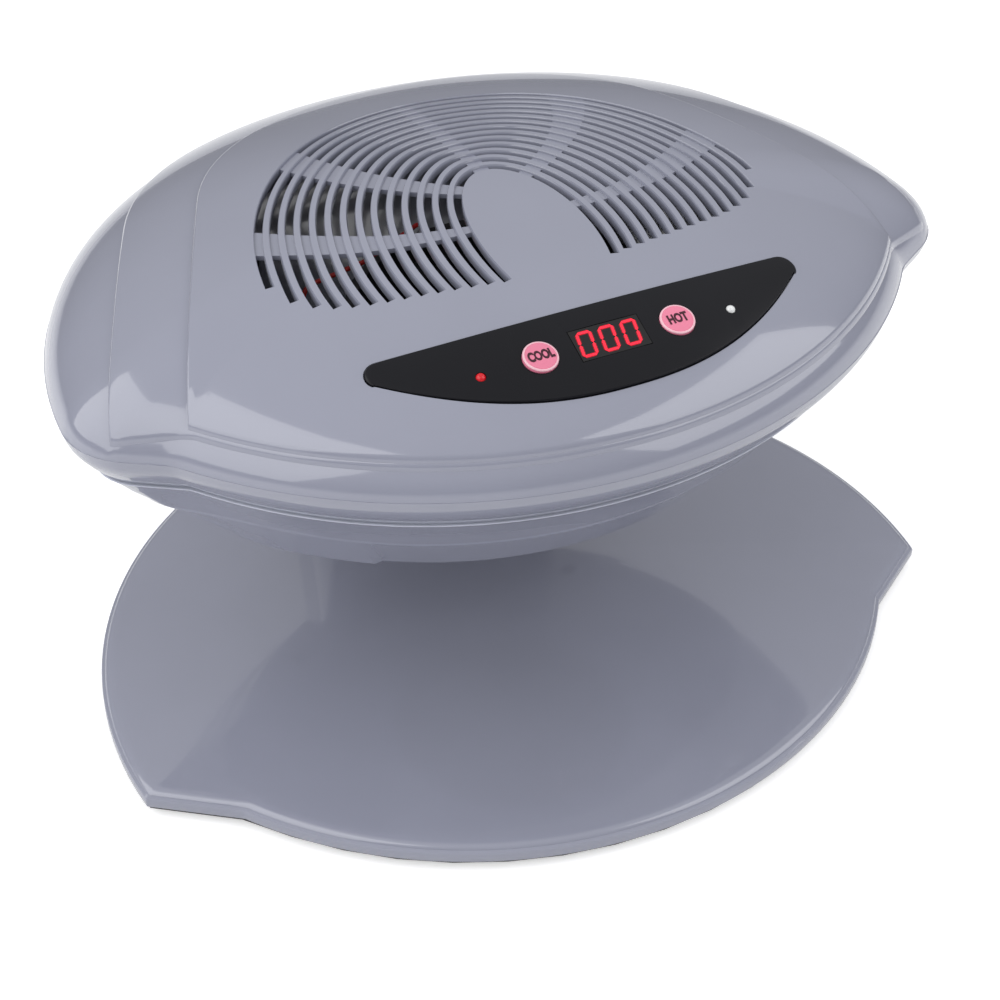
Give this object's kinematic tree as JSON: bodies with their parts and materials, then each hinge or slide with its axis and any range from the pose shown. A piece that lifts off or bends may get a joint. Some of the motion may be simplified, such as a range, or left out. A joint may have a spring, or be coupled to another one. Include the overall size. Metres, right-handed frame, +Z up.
{
  "type": "nail polish fan dryer",
  "caption": "Table-top nail polish dryer: a fan and heater in a domed head blow air down onto a hand resting on the base.",
  "frame": {"origin": "on the table, under the middle of the overall plan", "axes": "+Z up; -Y is the front, where the hand goes in; +X to the right seen from the front"},
  "size_m": [0.3, 0.2574, 0.1732],
  "materials": {
    "shell": "glossy blue-grey moulded plastic",
    "dark_grille": "satin",
    "panel": "polished black",
    "button": "pink, satin",
    "black_plastic": "moulded",
    "display": "smoked red lens",
    "display_light": "lit red",
    "red_lens": "clear red",
    "clear_lens": "clear white",
    "circuit_board": "green lacquer",
    "screw_steel": "zinc plated",
    "bearing_brass": "sintered",
    "copper_winding": "lacquered copper wire",
    "magnet": "ferrite",
    "duct": "heat resistant",
    "mica": "mica sheet",
    "heater_wire": "oxidised resistance wire",
    "bare_aluminium": "plain",
    "power_board": "paper laminate",
    "board_parts": "moulded parts",
    "red_wire": "insulation",
    "green_wire": "insulation",
    "yellow_wire": "insulation",
    "rubber": "soft"
  },
  "bodies": {
    "housing": {"upper_shell": "shell", "lower_shell": "shell", "neck_front": "shell", "neck_back": "shell", "base_top": "shell", "outlet_grille": "dark_grille", "control_panel": "panel", "tact_switches": "black_plastic", "display_module": "display", "display_digits": "display_light", "cool_lamp": "red_lens", "hot_lamp": "clear_lens", "control_board": "circuit_board", "board_screws": "screw_steel", "fan_frame": "black_plastic", "fan_screws": "screw_steel", "shaft_bearing": "bearing_brass", "stator_coil": "copper_winding", "air_duct": "duct", "heater_frame": "mica", "heater_coil": "heater_wire", "thermostat": "bare_aluminium", "thermal_fuse": "bare_aluminium", "power_board": "power_board", "power_parts": "board_parts", "red_wires": "red_wire", "green_wire": "green_wire", "yellow_wires": "yellow_wire", "mains_leads": "black_plastic", "neck_screws": "screw_steel", "cord_gland": "rubber", "base_bottom": "black_plastic", "base_screws": "screw_steel", "head_screws": "screw_steel", "rubber_feet": "rubber"},
    "fan": {"fan_impeller": "black_plastic", "rotor_magnet": "magnet", "motor_shaft": "screw_steel"},
    "cool_key": {"cool_button": "button", "cool_plunger": "black_plastic"},
    "hot_key": {"hot_button": "button", "hot_plunger": "black_plastic"}
  },
  "joints": [
    {"name": "fan_spin", "type": "hinge", "parent": "housing", "child": "fan", "pos_m": [0, -0.01625, 0.124], "axis": [0, 0, 1], "continuous": true},
    {"name": "cool_press", "type": "slide", "parent": "housing", "child": "cool_key", "axis": [0, 0.3256, -0.9455], "range_m": [0, 0.0006], "stiffness_N_per_m": 400, "springref_m": -0.001},
    {"name": "hot_press", "type": "slide", "parent": "housing", "child": "hot_key", "axis": [0, 0.3256, -0.9455], "range_m": [0, 0.0006], "stiffness_N_per_m": 400, "springref_m": -0.001}
  ]
}
